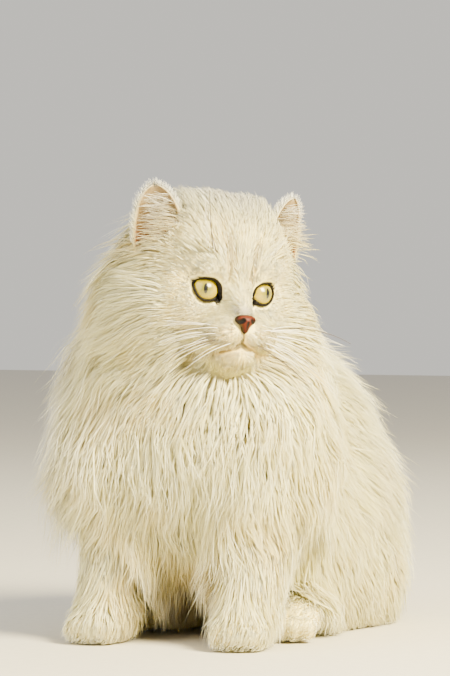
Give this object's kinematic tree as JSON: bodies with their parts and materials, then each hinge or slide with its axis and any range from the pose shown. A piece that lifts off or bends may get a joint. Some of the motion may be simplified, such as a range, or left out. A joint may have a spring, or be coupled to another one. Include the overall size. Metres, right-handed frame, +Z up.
{
  "type": "persian cat",
  "caption": "Life-size still model of a long-haired Persian cat, sitting upright with its head turned to its left and its tail round its side.",
  "frame": {"origin": "middle of the small flat under the haunches, on the floor that the cat sits on", "axes": "+Z up, the chest faces -Y, the cat's left side is +X"},
  "size_m": [0.2438, 0.3669, 0.3314],
  "materials": {
    "coat": "long silky white fur with a silver grey shade on the crown, back and mane",
    "nose": "moist brick-red skin",
    "iris": "clear wet eye, yellow-green iris"
  },
  "bodies": {
    "root": {"eye_right": "iris", "eye_left": "iris", "nose": "nose", "head": "coat", "jaw": "coat", "ear_right": "coat", "ear_left": "coat", "forepaw_right": "coat", "forepaw_left": "coat", "hindpaw_right": "coat", "hindpaw_left": "coat", "neck": "coat", "torso": "coat", "foreleg_right": "coat", "foreleg_left": "coat", "thigh_right": "coat", "thigh_left": "coat", "tail_root": "coat", "tail_middle": "coat", "tail_tip": "coat"}
  },
  "joints": []
}
